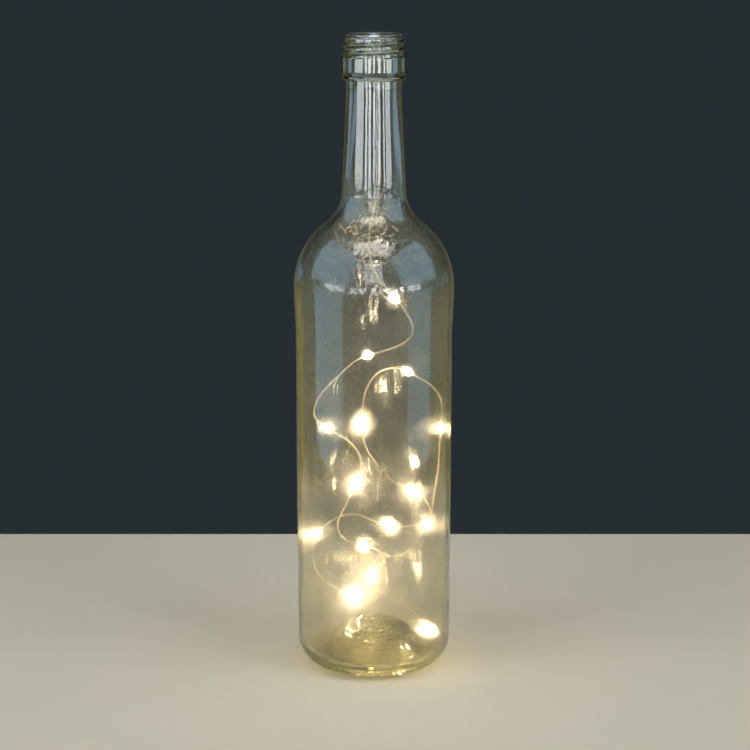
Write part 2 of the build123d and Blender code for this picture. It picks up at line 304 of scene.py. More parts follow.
# Background: an even light, and a slate with colours by height through the glass, at its rims and on walls
EVEN_LIGHT = (1.0, 0.93, 0.85)
EVEN_STRENGTH = 0.16
SLATE = (0.02, 0.027, 0.032)
SHADE = (0.022, 0.028, 0.03)
BLUE_GREY = (0.19, 0.28, 0.4)
LOOK_RANGE = (-0.3, 0.3)
DEPTHS = ((0.18, (0.115, 0.117, 0.1)), (0.3, (0.055, 0.058, 0.05)))
RIMS = ((0.44, (0.17, 0.155, 0.07)), (0.58, (0.04, 0.045, 0.043)))
STOREYS = (
    (0.2, (0.27, 0.22, 0.06)),
    (0.25, SHADE),
    (0.3, SHADE),
    (0.35, BLUE_GREY),
    (0.5, BLUE_GREY),
    (0.58, SHADE),
)
WALLS_MIDDLE = 0.15
WALLS_BAND = (0.41, 0.53, 0.83, 0.97)

# Softboxes: name, place, the point that it faces, size, power and colour
COOL = (0.42, 0.74, 1.0)
PALE = (0.88, 0.95, 1.0)
WHITE = (1.0, 0.98, 0.95)
CARD_LEVEL = 0.238
CARD_HEIGHT = 0.105
LEVEL = (0, 0, CARD_LEVEL)
LOW = (0, 0, 0.1)
HIGH = (0, 0, 0.2)
SIDE_CARDS = (
    ("left_card", (-0.767, -0.48, CARD_LEVEL), LEVEL, (0.53, CARD_HEIGHT), 1.7, PALE),
    ("left_low_card", (-0.8, -0.3, 0.025), LOW, (0.75, 0.29), 1.5, COOL),
    ("left_high_card", (-0.78, -0.28, 0.67), HIGH, (1.3, 0.82), 10.5, COOL),
    ("right_card", (0.76, -0.48, CARD_LEVEL), LEVEL, (0.35, CARD_HEIGHT), 1.1, PALE),
    ("right_low_card", (0.8, -0.3, 0.025), LOW, (0.6, 0.29), 0.97, COOL),
    ("right_high_card", (0.8, -0.27, 0.67), HIGH, (1.2, 0.82), 9.6, COOL),
)
HIGH_CARDS = (
    ("overhead_card", (-0.03, -0.35, 0.98), HIGH, (0.75, 0.3), 6.0, WHITE),
    ("front_high_card", (0, -0.84, 0.64), (0, 0, 0.22), (0.44, 0.5), 3.8, PALE),
)
LAMPS = (
    ("left_softbox", (-0.8, -0.5, 0.75), LOW, (0.7, 0.7), 4.8, WHITE),
    ("right_softbox", (0.8, -0.5, 0.75), LOW, (0.7, 0.7), 4.8, WHITE),
    ("overhead_softbox", (0, -0.15, 1.0), LOW, (0.8, 0.6), 5.2, WHITE),
)

# Strip cards around the front: turn in degrees and width, then what all of them share
STRIPS = ((-30, 0.12), (-16, 0.16), (0, 0.1), (20, 0.17), (39, 0.08))
STRIP_DISTANCE = 0.86
STRIP_POWER = 4.6


# Modelling helpers


def clear_selection():
    """Leave nothing selected, so that an operator acts on the new piece alone."""
    bpy.ops.object.select_all(action="DESELECT")


def pick(piece):
    """Make one piece the selected and active one."""
    clear_selection()
    piece.select_set(True)
    bpy.context.view_layer.objects.active = piece


def smooth_picked(angle):
    """Shade the picked piece smooth, save for edges that are sharper than an angle."""
    bpy.ops.object.shade_smooth_by_angle(angle=math.radians(angle))


def arc(centre, radius, start, end, pieces):
    """Points along an arc of an outline, from one angle to another, in degrees."""
    turns = [math.radians(start + (end - start) * step / pieces) for step in range(pieces + 1)]
    return [(centre[0] + radius * math.cos(turn), centre[1] + radius * math.sin(turn)) for turn in turns]


def straight(start, end, pieces):
    """Points along a straight stretch of an outline, without its ends."""
    shares = [step / pieces for step in range(1, pieces)]
    return [tuple(a + (b - a) * share for a, b in zip(start, end)) for share in shares]


def placed(name, data):
    """A new object in the scene, with the given data."""
    piece = bpy.data.objects.new(name, data)
    bpy.context.collection.objects.link(piece)
    return piece


def drawn_line(name, points, closed=False, kind="POLY"):
    """A line of straight runs through points, or of another kind, in millimetres, as a curve object."""
    curve = bpy.data.curves.new(name, "CURVE")
    curve.dimensions = "3D"
    spline = curve.splines.new(kind)
    spline.points.add(len(points) - 1)
    for corner, place in zip(spline.points, points):
        corner.co = (*[size * MM for size in place], 1)
    spline.use_cyclic_u = closed
    return placed(name, curve)


def turned_piece(name, outline, steps, closed=False):
    """Spin an outline of (radius, height) points about the bottle's axis into a closed piece."""
    piece = drawn_line(name, [(radius, 0, height) for radius, height in outline], closed)
    pick(piece)
    bpy.ops.object.convert(target="MESH")
    bpy.ops.object.mode_set(mode="EDIT")
    bpy.ops.mesh.select_all(action="SELECT")
    bpy.ops.mesh.spin(steps=steps, angle=math.tau, center=(0, 0, 0), axis=(0, 0, 1))
    bpy.ops.mesh.select_all(action="SELECT")
    bpy.ops.mesh.remove_doubles(threshold=WELD * MM)
    bpy.ops.mesh.normals_make_consistent(inside=False)
    bpy.ops.object.mode_set(mode="OBJECT")
    smooth_picked(SMOOTH_ANGLE)
    return piece


def joined(name, pieces):
    """Make one piece of several."""
    pick(pieces[0])
    for piece in pieces:
        piece.select_set(True)
    bpy.ops.object.join()
    pieces[0].name = name
    return pieces[0]


def ease_edges(piece, width):
    """Round the sharp edges of a piece over."""
    ease = piece.modifiers.new("ease", "BEVEL")
    ease.limit_method = "ANGLE"
    ease.angle_limit = math.radians(EASED_ANGLE)
    ease.width = width * MM
    ease.segments = 3
    pick(piece)
    bpy.ops.object.modifier_apply(modifier="ease")
    smooth_picked(SMOOTH_ANGLE)


def eased_copy(name, node, width):
    """A copy of a CAD node with its edges rounded over, so that they catch the light."""
    piece = placed(name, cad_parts[node].data.copy())
    pick(piece)
    bpy.ops.mesh.customdata_custom_splitnormals_clear()
    bpy.ops.object.mode_set(mode="EDIT")
    bpy.ops.mesh.select_all(action="SELECT")
    bpy.ops.mesh.remove_doubles(threshold=WELD * MM)
    bpy.ops.mesh.dissolve_limited(angle_limit=math.radians(FLAT_ANGLE))
    bpy.ops.object.mode_set(mode="OBJECT")
    ease_edges(piece, width)
    return piece


def plain_shape(add, stretch, **settings):
    """One of Blender's plain shapes, stretched along its axes, with its place and stretch settled."""
    clear_selection()
    add(**settings)
    shape = bpy.context.view_layer.objects.active
    shape.scale = stretch
    bpy.ops.object.transform_apply(location=True, rotation=True, scale=True)
    return shape


def press_hollow(piece, place, size):
    """Press a smooth hollow, the shape of a ball of the given half sizes, into a piece."""
    middle = [at * MM for at in place]
    add = bpy.ops.mesh.primitive_uv_sphere_add
    ball = plain_shape(add, size, segments=48, ring_count=24, radius=MM, location=middle)
    hollow = piece.modifiers.new("hollow", "BOOLEAN")
    hollow.object = ball
    hollow.operation = "DIFFERENCE"
    pick(piece)
    bpy.ops.object.modifier_apply(modifier="hollow")
    smooth_picked(SMOOTH_ANGLE)
    bpy.data.objects.remove(ball)


def moulded_block(place, size, ease):
    """A small block with rounded edges, by its middle and size."""
    middle = [at * MM for at in place]
    block = plain_shape(bpy.ops.mesh.primitive_cube_add, size, size=MM, location=middle)
    ease_edges(block, ease)
    return block


def moulded_pin(place, radius, height, ease):
    """A short upright pin with rounded edges, by the middle of its foot."""
    middle = (place[0] * MM, place[1] * MM, (place[2] + height / 2) * MM)
    add = bpy.ops.mesh.primitive_cylinder_add
    pin = plain_shape(add, (radius, radius, height), vertices=32, radius=MM, depth=MM, location=middle)
    ease_edges(pin, ease)
    return pin


def finished(piece, material, body, slot, *nodes):
    """Give a piece its finish, the body that it moves with and the nodes that it stands for."""
    piece.data.materials.clear()
    piece.data.materials.append(material)
    if nodes:
        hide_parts(*nodes)
    if body:
        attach(piece, body)
    return piece


# Material helpers


def place_node(tree, kind, inputs=None, **settings):
    """Add a node to a tree, with its settings and the values of its inputs."""
    node = tree.nodes.new(kind)
    for name, value in settings.items():
        setattr(node, name, value)
    for name, value in (inputs or {}).items():
        node.inputs[name].default_value = value
    return node


def combine(tree, operation, *values):
    """Work out a number from others, each of them a socket or a plain number."""
    node = place_node(tree, "ShaderNodeMath", operation=operation)
    for given, value in zip(node.inputs, values):
        if isinstance(value, float):
            given.default_value = value
        else:
            tree.links.new(value, given)
    return node.outputs[0]


def weighted_sum(tree, parts):
    """Add up sockets, each times its weight, which is a number or another socket."""
    total = 0.0
    for socket, weight in parts:
        total = combine(tree, "MULTIPLY_ADD", socket, weight, total)
    return total


def ranged(tree, value, start, end, low=0.0, high=1.0, kind="LINEAR"):
    """Take a value that goes from start to end to one that goes from low to high."""
    node = place_node(
        tree,
        "ShaderNodeMapRange",
        {"From Min": start, "From Max": end, "To Min": low, "To Max": high},
        interpolation_type=kind,
    )
    tree.links.new(value, node.inputs["Value"])
    return node.outputs[0]


def band(tree, value, start, low, high, end):
    """A mask that fades in from start to low and out from high to end."""
    rising = ranged(tree, value, start, low, kind="SMOOTHSTEP")
    falling = ranged(tree, value, end, high, kind="SMOOTHSTEP")
    return combine(tree, "MULTIPLY", rising, falling)


def object_place(tree):
    """The place on a piece, in its own coordinates."""
    return place_node(tree, "ShaderNodeTexCoord").outputs["Object"]


def height_band(tree, place, heights):
    """A mask of heights, by the four that a band has, in millimetres."""
    axes = place_node(tree, "ShaderNodeSeparateXYZ")
    tree.links.new(place, axes.inputs[0])
    return band(tree, axes.outputs["Z"], *[height * MM for height in heights])


def noise_field(tree, place, scale, detail=1.0, roughness=0.5):
    """Noise whose grain along each axis is set by a scale."""
    laid = place_node(tree, "ShaderNodeMapping", {"Scale": scale})
    settings = {"Scale": 1.0, "Detail": detail, "Roughness": roughness}
    noise = place_node(tree, "ShaderNodeTexNoise", settings)
    tree.links.new(place, laid.inputs["Vector"])
    tree.links.new(laid.outputs[0], noise.inputs["Vector"])
    return noise.outputs["Fac"]


def shade_ramp(tree, value, stops):
    """Colours along a value from 0 to 1, each with its place on it."""
    ramp = place_node(tree, "ShaderNodeValToRGB")
    elements = ramp.color_ramp.elements
    first, *between, last = stops
    for element, (place, colour) in zip(elements, (first, last)):
        element.position = place
        element.color = (*colour, 1)
    for place, colour in between:
        elements.new(place).color = (*colour, 1)
    tree.links.new(value, ramp.inputs["Fac"])
    return ramp.outputs["Color"]


def mixed_colour(tree, factor, first, second):
    """One colour turning into another by a factor, each of them a socket or plain numbers."""
    mix = place_node(tree, "ShaderNodeMix", data_type="RGBA")
    tree.links.new(factor, mix.inputs["Factor"])
    for name, colour in (("A", first), ("B", second)):
        if isinstance(colour, tuple):
            mix.inputs[name].default_value = (*colour, 1)
        else:
            tree.links.new(colour, mix.inputs[name])
    return mix.outputs["Result"]


def mix_shaders(tree, factor, first, second, output):
    """Send one shader to an output's surface, turning into another by a factor."""
    mix = place_node(tree, "ShaderNodeMixShader")
    tree.links.new(factor, mix.inputs["Fac"])
    tree.links.new(first.outputs[0], mix.inputs[1])
    tree.links.new(second.outputs[0], mix.inputs[2])
    tree.links.new(mix.outputs[0], output.inputs["Surface"])


def new_finish(name, colour, roughness, **inputs):
    """A material with a Principled shader; returns it, its node tree and the shader."""
    material = bpy.data.materials.new(name)
    material.use_nodes = True
    shader = material.node_tree.nodes["Principled BSDF"]
    shader.inputs["Base Color"].default_value = (*colour, 1)
    shader.inputs["Roughness"].default_value = roughness
    for socket, value in inputs.items():
        shader.inputs[socket.replace("_", " ")].default_value = value
    return material, material.node_tree, shader


def new_group(name, inputs, outputs):
    """An empty shader node group with number inputs, as name and default, and number outputs."""
    tree = bpy.data.node_groups.new(name, "ShaderNodeTree")
    for socket, value in inputs.items():
        made = tree.interface.new_socket(socket, in_out="INPUT", socket_type="NodeSocketFloat")
        made.default_value = value
    for socket in outputs:
        tree.interface.new_socket(socket, in_out="OUTPUT", socket_type="NodeSocketFloat")
    return tree, tree.nodes.new("NodeGroupInput"), tree.nodes.new("NodeGroupOutput")


def make_scuffs():
    """Fine wear that any handled surface shows: hairline scratches up and across it."""
    tree, given, result = new_group("scuffs", {"Fineness": 1.0, "Amount": 0.5}, ["Mask"])
    sized = place_node(tree, "ShaderNodeVectorMath", operation="SCALE")
    tree.links.new(object_place(tree), sized.inputs[0])
    tree.links.new(given.outputs["Fineness"], sized.inputs["Scale"])
    hairlines = []
    for grain in HAIRLINES:
        lines = noise_field(tree, sized.outputs[0], grain, detail=2.0, roughness=0.6)
        hairlines.append(ranged(tree, lines, *HAIRLINE_EDGES))
    both = combine(tree, "MAXIMUM", *hairlines)
    tree.links.new(combine(tree, "MULTIPLY", both, given.outputs["Amount"]), result.inputs["Mask"])
    return tree


scuffs = make_scuffs()


def worn_roughness(tree, shader, fineness, amount, smooth, rough):
    """Let the shared wear take a surface's roughness from smooth to rough."""
    inputs = {"Fineness": fineness, "Amount": amount}
    wear = place_node(tree, "ShaderNodeGroup", inputs, node_tree=scuffs)
    spread = ranged(tree, wear.outputs["Mask"], 0.0, 1.0, smooth, rough)
    tree.links.new(spread, shader.inputs["Roughness"])


def add_bump(tree, shader, height, strength, distance):
    """Feed a height to the shader's normal."""
    bump = place_node(tree, "ShaderNodeBump", {"Strength": strength, "Distance": distance * MM})
    tree.links.new(height, bump.inputs["Height"])
    tree.links.new(bump.outputs["Normal"], shader.inputs["Normal"])


def let_lamps_through(tree, shader, tint):
    """Let light from the lamps pass a clear piece, so that what is behind it isn't in a black shadow."""
    path = place_node(tree, "ShaderNodeLightPath")
    clear = place_node(tree, "ShaderNodeBsdfTransparent", {"Color": (*tint, 1)})
    mix_shaders(tree, path.outputs["Is Shadow Ray"], shader, clear, tree.nodes["Material Output"])


# Finishes


def add_bloom(tree, shader, place):
    """A fine bloom in patches on the glass: the more covered, the more of its grains are rough."""
    parts = [
        (noise_field(tree, place, BLOOM_GRAIN, detail=0.0), 1.0),
        (noise_field(tree, place, BLOOM_PATCHES, detail=2.0), BLOOM_PATCH_WEIGHT),
    ]
    for heights, weight in BLOOM_BANDS:
        parts.append((height_band(tree, place, heights), weight))
    covered = ranged(tree, weighted_sum(tree, parts), *BLOOM_EDGES, 0.0, BLOOM_ROUGHNESS)
    tree.links.new(covered, shader.inputs["Roughness"])


def add_waves(tree, shader, place):
    """The glass's wavy inside and pebbled shoulder, in millimetres."""
    inside = place_node(tree, "ShaderNodeAttribute", attribute_name="inside").outputs["Fac"]
    ripples = combine(tree, "MULTIPLY", height_band(tree, place, RIPPLE_BAND), RIPPLE_HEIGHT)
    settled = noise_field(tree, place, RIPPLE_GRAIN)
    drawn = noise_field(tree, place, DRAWN_GRAIN)
    blown = weighted_sum(tree, [(settled, ripples), (drawn, DRAWN_HEIGHT)])
    grown = weighted_sum(
        tree, [(height_band(tree, place, heights), height) for heights, height in PEBBLE_BANDS]
    )
    pebbles = ranged(tree, noise_field(tree, place, PEBBLE_GRAIN), *PEBBLE_EDGES)
    outside = combine(tree, "LESS_THAN", inside, INSIDE_FROM)
    pebbled = combine(tree, "MULTIPLY", combine(tree, "MULTIPLY", pebbles, grown), outside)
    pressed = noise_field(tree, place, PRESSED_GRAIN)
    height = weighted_sum(tree, [(blown, inside), (pressed, PRESSED_HEIGHT), (pebbled, 1.0)])
    add_bump(tree, shader, height, strength=1.0, distance=1.0)


def bottle_glass():
    """Clear flint glass: a faint olive body colour, a painted golden glow low down, a fine bloom, a wavy
    inside and a pebbled shoulder.
    """
    material, tree, shader = new_finish(
        "bottle_glass", GLASS_CLEAR, 0.0, Transmission_Weight=1.0, IOR=GLASS_INDEX
    )
    place = object_place(tree)
    # Painted glow: the glass's colour turns golden low down, standing in for the warm light of the lights
    # in the lower body
    colour = mixed_colour(tree, height_band(tree, place, PAINTED_GLOW_BAND), GLASS_CLEAR, GLASS_PAINTED_GLOW)
    tree.links.new(colour, shader.inputs["Base Color"])
    add_bloom(tree, shader, place)
    add_waves(tree, shader, place)
    inputs = {"Color": (*GLASS_BODY, 1), "Density": GLASS_DENSITY}
    body = place_node(tree, "ShaderNodeVolumeAbsorption", inputs)
    tree.links.new(body.outputs["Volume"], tree.nodes["Material Output"].inputs["Volume"])
    let_lamps_through(tree, shader, GLASS_SHADOW)
    return material


def clear_plastic():
    """Clear moulded plastic, lightly scuffed."""
    material, tree, shader = new_finish(
        "clear_plastic", (0.95, 0.97, 0.98), 0.05, Transmission_Weight=1.0, IOR=1.49
    )
    worn_roughness(tree, shader, fineness=1.6, amount=0.7, smooth=0.06, rough=0.4)
    let_lamps_through(tree, shader, (0.92, 0.95, 0.96))
    return material


def milky_plastic():
    """Natural, faintly milky plastic."""
    material, tree, shader = new_finish(
        "milky_plastic", (0.94, 0.96, 0.97), 0.2, Transmission_Weight=0.9, IOR=1.45
    )
    worn_roughness(tree, shader, fineness=1.4, amount=0.6, smooth=0.14, rough=0.4)
    let_lamps_through(tree, shader, (0.85, 0.87, 0.88))
    return material


def grained_plastic(name, colour, roughness):
    """Opaque moulded plastic with a fine grain."""
    material, tree, shader = new_finish(name, colour, roughness)
    worn_roughness(tree, shader, fineness=1.4, amount=0.7, smooth=roughness, rough=roughness + 0.2)
    grain = noise_field(tree, object_place(tree), PLASTIC_GRAIN, detail=2.0)
    add_bump(tree, shader, grain, strength=0.2, distance=0.05)
    return material


def bare_metal(name, colour, roughness):
    """Rolled or plated metal with hairline scratches."""
    material, tree, shader = new_finish(name, colour, roughness, Metallic=1.0)
    worn_roughness(tree, shader, fineness=2.0, amount=0.8, smooth=roughness, rough=roughness + 0.25)
    return material


def enamelled_wire():
    """Pale gold enamelled wire, brighter where the enamel has worn."""
    material, tree, shader = new_finish("enamelled_wire", (0.9, 0.8, 0.6), 0.3, Metallic=0.12)
    patches = noise_field(tree, object_place(tree), ENAMEL_GRAIN, detail=3.0)
    shades = shade_ramp(tree, patches, ((0, ENAMEL_WHOLE), (1, ENAMEL_WORN)))
    tree.links.new(shades, shader.inputs["Base Color"])
    worn_roughness(tree, shader, fineness=2.0, amount=0.6, smooth=0.22, rough=0.45)
    return material


def lit_resin(name, strength):
    """A clear drop lit from inside, golden at its ends, and softer where its image would smear."""
    material, tree, shader = new_finish(name, (1.0, 0.9, 0.7), 0.12, Emission_Strength=strength)
    glow = place_node(tree, "ShaderNodeAttribute", attribute_name="glow")
    shades = shade_ramp(tree, glow.outputs["Fac"], ((0, GLOW_ENDS), (1, GLOW_MIDDLE)))
    softer = place_node(tree, "ShaderNodeEmission", {"Strength": strength * MIRRORED_SHARE})
    tree.links.new(shades, shader.inputs["Emission Color"])
    tree.links.new(shades, softer.inputs["Color"])
    path = place_node(tree, "ShaderNodeLightPath").outputs
    deep = combine(tree, "GREATER_THAN", path["Ray Depth"], DIRECT_DEPTH)
    returned = combine(tree, "MULTIPLY", deep, path["Is Transmission Ray"])
    mirrored = combine(tree, "MAXIMUM", returned, path["Is Reflection Ray"])
    halfway = place_node(tree, "ShaderNodeAttribute", attribute_name="halfway")
    smeared = combine(tree, "MULTIPLY", mirrored, halfway.outputs["Fac"])
    mix_shaders(tree, smeared, shader, softer, tree.nodes["Material Output"])
    return material


# Camera


def add_camera():
    """The camera that the photograph was taken with."""
    lens = bpy.data.cameras.new("camera")
    lens.lens = CAMERA_LENS
    lens.sensor_width = CAMERA_SENSOR
    camera = placed("camera", lens)
    camera.location = CAMERA_PLACE
    camera.rotation_euler = (math.radians(90 - CAMERA_DIP), 0, 0)
    bpy.context.scene.camera = camera


# Light string


def read_wire_line():
    """Points along the wire, read from the smooth spline that its route controls."""
    guide = drawn_line("wire_line", WIRE_ROUTE, kind="NURBS")
    guide.data.resolution_u = WIRE_STEPS
    guide.data.splines[0].order_u = 3
    guide.data.splines[0].use_endpoint_u = True
    line = bpy.data.meshes.new_from_object(guide)
    points = [vertex.co.copy() for vertex in line.vertices]
    bpy.data.curves.remove(guide.data)
    bpy.data.meshes.remove(line)
    return points


def strand_points(line, first_turn):
    """One strand's way round the wire's line, in millimetres."""
    side = Vector((1, 0, 0))
    run = 0.0
    points = []
    for at, point in enumerate(line):
        before = line[max(at - 1, 0)]
        ahead = (line[min(at + 1, len(line) - 1)] - before).normalized()
        side = (side - ahead * side.dot(ahead)).normalized()
        run += (point - before).length / MM
        turn = first_turn + math.tau * run / TWIST_PITCH
        away = side * math.cos(turn) + ahead.cross(side) * math.sin(turn)
        points.append(point / MM + away * STRAND_RADIUS)
    return points


def make_wire(line, enamel):
    """Two thin strands twisted round each other from the stopper to the last light."""
    strands = []
    for number in range(2):
        strand = drawn_line(f"strand_{number}", strand_points(line, math.pi * number))
        strand.data.bevel_depth = STRAND_RADIUS * MM
        strand.data.bevel_resolution = 2
        strand.data.use_fill_caps = True
        strands.append(strand)
    for strand in strands:
        pick(strand)
        bpy.ops.object.convert(target="MESH")
    wire = joined("light_wire", strands)
    smooth_picked(STRAND_SMOOTH_ANGLE)
    return finished(wire, enamel, None, "wire", "lead_wire", "string_wire")


def model_light():
    """One light along the X axis: a drop of resin drawn out along the wire, swollen over its chip."""
    clear_selection()
    bpy.ops.mesh.primitive_uv_sphere_add(
        segments=24, ring_count=18, radius=DROP_RADIUS * MM, rotation=(0, math.pi / 2, 0)
    )
    light = bpy.context.view_layer.objects.active
    bpy.ops.object.transform_apply(location=True, rotation=True, scale=True)
    bpy.ops.object.mode_set(mode="EDIT")
    bpy.ops.mesh.select_all(action="SELECT")
    bpy.ops.transform.resize(value=(DROP_HALF_LENGTH / DROP_RADIUS, 1, 1))
    bpy.ops.object.mode_set(mode="OBJECT")
    glow = light.data.attributes.new("glow", "FLOAT", "POINT")
    for vertex, shine in zip(light.data.vertices, glow.data):
        along = abs(vertex.co.x) / (DROP_HALF_LENGTH * MM)
        taper = 1 - DROP_TAPER * along**2
        vertex.co.y *= taper
        vertex.co.z *= taper
        shine.value = max(0.0, 1 - along**3)
    bpy.ops.object.shade_smooth()
    return light


def make_lights(resin, facing_resin):
    """A copy of the light for each place along the wire, laid along it; some chips face the front."""
    model = model_light()
    lights = []
    for number, run in enumerate(LIGHT_RUNS, start=1):
        low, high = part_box(f"resin_drop_{number:02d}")
        start = Vector(WIRE_ROUTE[run])
        along = (Vector(WIRE_ROUTE[run + 1]) - start).normalized()
        light = placed(f"light_{number:02d}", model.data.copy())
        turn = along.to_track_quat("X", "Z").to_matrix().to_4x4()
        turn.translation = (low + high) / 2
        light.data.transform(turn)
        halfway = light.data.attributes.new("halfway", "FLOAT", "POINT")
        halfway.data.foreach_set("value", [float(number == HALFWAY_LIGHT)] * len(halfway.data))
        nodes = (f"led_chip_{number:02d}", f"resin_drop_{number:02d}")
        lit = facing_resin if number in FACING_LIGHTS else resin
        lights.append(finished(light, lit, "bottle", "resin", *nodes))
    bpy.data.objects.remove(model)
    return lights


# Bottle


def bottle_outline():
    """The bottle's section: from the punt's crown over the outside to the rim, then down the inside."""
    neck_middle = NECK_BASE_RADIUS + NECK_ARC
    shoulder_middle = SHOULDER_RADIUS - SHOULDER_ARC
    reach = neck_middle - shoulder_middle
    neck_start = SHOULDER_START + math.sqrt((SHOULDER_ARC + NECK_ARC) ** 2 - reach**2)
    shoulder_turn = math.degrees(math.atan2(neck_start - SHOULDER_START, reach))
    bearing_outer = PANEL_RADIUS - HEEL_RADIUS
    bearing_inner = bearing_outer - BEARING_WIDTH
    punt_sphere = (bearing_inner**2 + PUNT_DEPTH**2) / (2 * PUNT_DEPTH)
    punt_centre = (0, PUNT_DEPTH - punt_sphere)
    punt_edge = math.degrees(math.asin((PUNT_DEPTH - punt_sphere) / -punt_sphere))
    dome_sphere = punt_sphere + PUNT_THICKNESS
    trough_height = FLOOR_THICKNESS + TROUGH_ARC
    trough_radius = math.sqrt((dome_sphere + TROUGH_ARC) ** 2 - (trough_height - punt_centre[1]) ** 2)
    trough_turn = math.degrees(math.atan2(trough_radius, trough_height - punt_centre[1]))
    inside = PANEL_RADIUS - WALL
    inner_heel = inside - trough_radius
    band_top = GLASS_HEIGHT - THREAD_ZONE
    bead_top = band_top - BAND_HEIGHT
    bead_bottom = bead_top - BEAD_HEIGHT
    bead_middle = bead_bottom + BEAD_HEIGHT / 2
    neck_low = (NECK_BASE_RADIUS, neck_start)
    neck_high = (NECK_RADIUS, bead_bottom - NECK_STRAIGHT)
    mouth = GLASS_HEIGHT - MOUTH_ROUND
    bore_low = (BORE_RADIUS, GLASS_HEIGHT - BORE_DEPTH)
    inner_neck_low = (NECK_BASE_RADIUS - WALL, neck_start)
    ring_low = (SHOULDER_RADIUS - WALL, SHOULDER_RING_BOTTOM)
    thread_low = (THREAD_ROOT, band_top)
    thread_high = (THREAD_ROOT, GLASS_HEIGHT - RIM_ROUND)
    punt = []
    for step, (radius, height) in enumerate(arc(punt_centre, punt_sphere, 90, punt_edge, PUNT_STEPS)):
        fade = min(1.0, step / PUNT_RING_STEPS, (PUNT_STEPS - step) / PUNT_STEPS * 2)
        punt.append((radius, height + PUNT_RING_DEPTH * fade * math.sin(math.tau * step / PUNT_RING_STEPS)))
    outside = [
        *punt,
        *arc((bearing_outer, HEEL_RADIUS), HEEL_RADIUS, -90, 0, HEEL_STEPS),
        *straight((PANEL_RADIUS, HEEL_RADIUS), (PANEL_RADIUS, PANEL_TOP), PANEL_STEPS),
        (PANEL_RADIUS, PANEL_TOP),
        *straight((PANEL_RADIUS, PANEL_TOP), (SHOULDER_RADIUS, SHOULDER_RING_BOTTOM), RING_STEPS),
        (SHOULDER_RADIUS, SHOULDER_RING_BOTTOM),
        *arc((shoulder_middle, SHOULDER_START), SHOULDER_ARC, 0, shoulder_turn, SHOULDER_STEPS),
        *arc((neck_middle, neck_start), NECK_ARC, 180 + shoulder_turn, 180, NECK_TURN_STEPS)[1:],
        *straight(neck_low, neck_high, NECK_STEPS),
        neck_high,
        (NECK_RADIUS, bead_bottom),
        *arc((BEAD_RADIUS - BEAD_ROUND, bead_middle), BEAD_ROUND, -90, 60, BEAD_STEPS),
        (BAND_RADIUS, bead_top),
        *straight((BAND_RADIUS, bead_top), (BAND_RADIUS, band_top - BAND_CHAMFER), BAND_STEPS),
        (BAND_RADIUS, band_top - BAND_CHAMFER),
        (BAND_RADIUS - BAND_CHAMFER / 2, band_top - BAND_CHAMFER / 4),
        thread_low,
        *straight(thread_low, thread_high, THREAD_STEPS),
        *arc((THREAD_ROOT - RIM_ROUND, GLASS_HEIGHT - RIM_ROUND), RIM_ROUND, 0, 90, RIM_STEPS),
    ]
    inner = [
        *arc((BORE_RADIUS + MOUTH_ROUND, mouth), MOUTH_ROUND, 90, 180, MOUTH_STEPS),
        *straight((BORE_RADIUS, mouth), bore_low, BORE_STEPS),
        bore_low,
        *straight(bore_low, inner_neck_low, INNER_NECK_STEPS),
        *arc((neck_middle, neck_start), NECK_ARC + WALL, 180, 180 + shoulder_turn, NECK_TURN_STEPS),
        *arc((shoulder_middle, SHOULDER_START), SHOULDER_ARC - WALL, shoulder_turn, 0, SHOULDER_STEPS)[1:],
        ring_low,
        *straight(ring_low, (inside, PANEL_TOP), INNER_RING_STEPS),
        (inside, PANEL_TOP),
        *straight((inside, PANEL_TOP), (inside, FLOOR_THICKNESS + inner_heel), PANEL_STEPS),
        *arc((trough_radius, FLOOR_THICKNESS + inner_heel), inner_heel, 0, -90, INNER_HEEL_STEPS),
        *arc((trough_radius, trough_height), TROUGH_ARC, -90, -90 - trough_turn, TROUGH_STEPS)[1:],
        *arc(punt_centre, dome_sphere, 90 - trough_turn, 90, DOME_STEPS)[1:],
    ]
    return outside + inner


def thread_lift(turn, height):
    """How far the glass thread stands out of its root at a place round the finish."""
    lift = 0.0
    whole = THREAD_TURNS * 360
    for lap in range(3):
        along = (turn - THREAD_START) % 360 + 360 * lap
        if along > whole:
            continue
        off = abs(height - THREAD_LOW - THREAD_PITCH * along / 360)
        if off < THREAD_HALF_WIDTH:
            ends = min(1.0, along / THREAD_FADE, (whole - along) / THREAD_FADE)
            shape = math.cos(off / THREAD_HALF_WIDTH * math.pi / 2) ** THREAD_CREST
            lift = max(lift, THREAD_HEIGHT * shape * math.sin(ends * math.pi / 2))
    return lift


def heel_stipple(column, height):
    """How far the heel's rows of small dimples are cut in and up at a place."""
    dip = math.degrees(math.asin(1 - height / HEEL_RADIUS))
    row = round(dip * HEEL_STEPS / 90)
    if (column // STIPPLE_COLUMNS + row // STIPPLE_ROWS) % 2:
        return 0.0, 0.0
    fade = min(1.0, (90 - dip) / STIPPLE_FADE, (STIPPLE_HIGH - height) / STIPPLE_TOP_FADE)
    depth = STIPPLE_DEPTH * max(0.0, fade)
    return -depth * math.cos(math.radians(dip)), depth * math.sin(math.radians(dip))


def neck_flutes(turn, height):
    """How far the blown inside of the neck wavers at a place."""
    fade = min(1.0, (FLUTES_HIGH - height) / FLUTE_FADE, (height - FLUTES_LOW) / FLUTE_FADE)
    waves = sum(weight * math.sin(count * turn + start) for weight, count, start in FLUTES)
    return FLUTE_DEPTH * waves * fade


